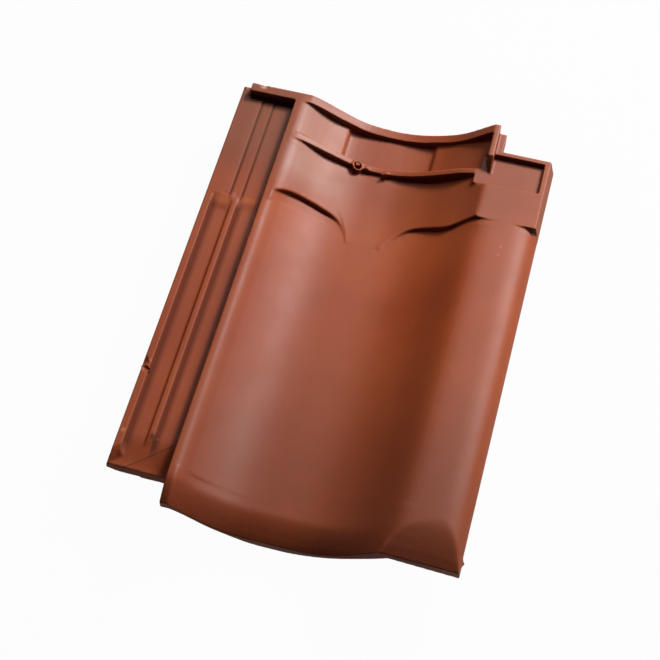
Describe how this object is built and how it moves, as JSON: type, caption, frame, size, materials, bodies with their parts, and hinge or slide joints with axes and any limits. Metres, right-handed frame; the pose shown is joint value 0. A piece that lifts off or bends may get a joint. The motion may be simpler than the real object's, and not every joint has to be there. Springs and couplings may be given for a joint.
{
  "type": "clay roof tile",
  "caption": "Interlocking hollow clay pan tile with a curved trough, a covering roll, a ribbed side lock, a head lock and batten nibs, lapped in rows on a pitched roof.",
  "frame": {"origin": "middle of the tile's plan, on the floor under the batten nibs", "axes": "+Y from the foot to the head, +X from the side lock to the roll, +Z out of the weather face"},
  "size_m": [0.26, 0.368, 0.0628],
  "materials": {
    "fired_clay": "satin"
  },
  "bodies": {
    "root": {"roof_tile": "fired_clay"}
  },
  "joints": []
}
